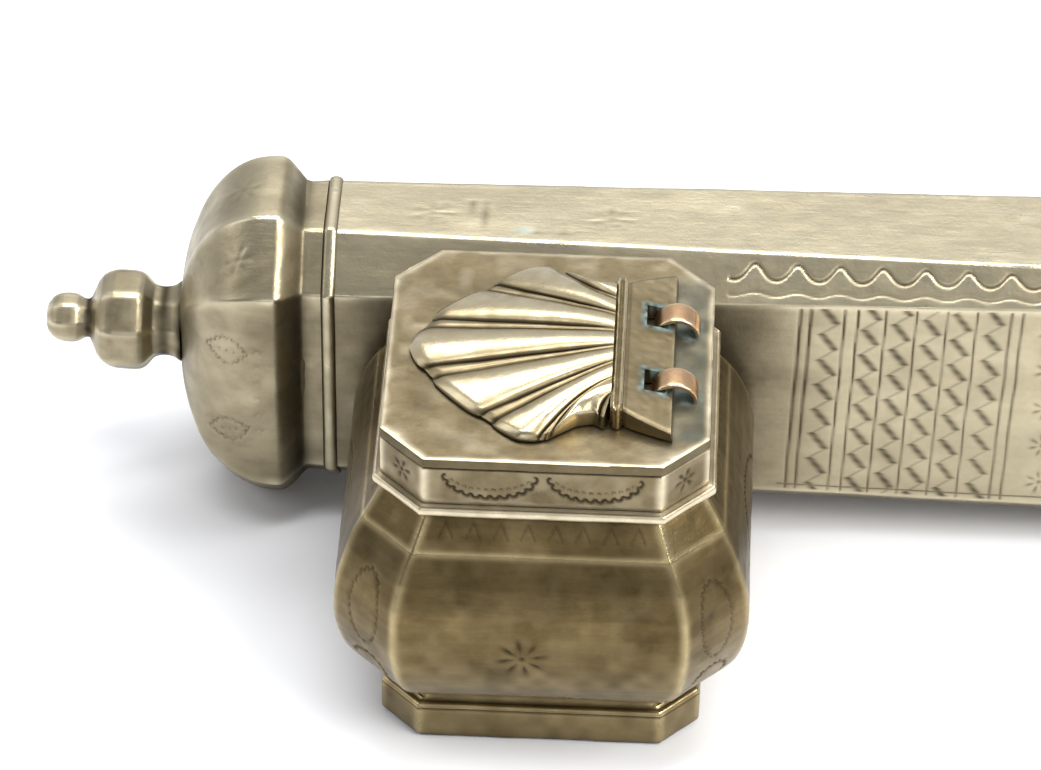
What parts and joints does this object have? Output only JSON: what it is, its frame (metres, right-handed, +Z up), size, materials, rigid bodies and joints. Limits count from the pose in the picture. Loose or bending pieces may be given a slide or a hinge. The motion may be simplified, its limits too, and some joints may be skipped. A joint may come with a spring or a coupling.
{
  "type": "inkwell",
  "caption": "Brass travelling inkwell with a hinged scallop-shell cover, soldered to the side of a long brass pen case with a hinged domed cap.",
  "frame": {"origin": "centre of the inkwell foot's bottom face, on the surface it stands on", "axes": "+X along the pen case away from its domed cap, +Y from the inkwell towards the pen case, +Z up"},
  "size_m": [0.2574, 0.0645, 0.0455],
  "materials": {
    "brass_lid": "aged, worn satin",
    "brass_well": "aged, dark brushed",
    "brass_case": "aged, pale satin",
    "brass_shell": "cast, polished on the ribs",
    "copper_strap": "reddish copper, satin",
    "silk": "ink-soaked silk fibre"
  },
  "bodies": {
    "case": {"lid_plate": "brass_lid", "lid_skirt": "brass_lid", "skirt_bead": "brass_lid", "well_neck": "brass_well", "well_body": "brass_well", "well_foot": "brass_well", "well_base": "brass_well", "well_saddle": "brass_well", "port_ring": "brass_lid", "silk_wad": "silk", "strap_front": "copper_strap", "strap_rear": "copper_strap", "case_tube": "brass_case", "case_rim_bead": "brass_case", "case_lip": "brass_case", "case_hinge_leaf": "brass_case", "hinge_rivets": "brass_lid", "cap_hinge_pin": "brass_lid", "case_end_bead": "brass_case", "end_dome": "brass_case", "end_button": "brass_case", "end_burr": "brass_case"},
    "cap": {"cap_dome": "brass_case", "cap_hinge_leaf": "brass_case", "cap_finial": "brass_case", "finial_burr": "brass_case"},
    "shell": {"shell_cover": "brass_shell"}
  },
  "joints": [
    {"name": "cap_hinge", "type": "hinge", "parent": "case", "child": "cap", "pos_m": [-0.02685, 0.04, 0.02085], "axis": [0, 0, -1], "range_deg": [0, 120]},
    {"name": "shell_hinge", "type": "hinge", "parent": "case", "child": "shell", "pos_m": [0.0139, 0, 0.0419], "axis": [0, 1, 0], "range_deg": [0, 100]}
  ]
}
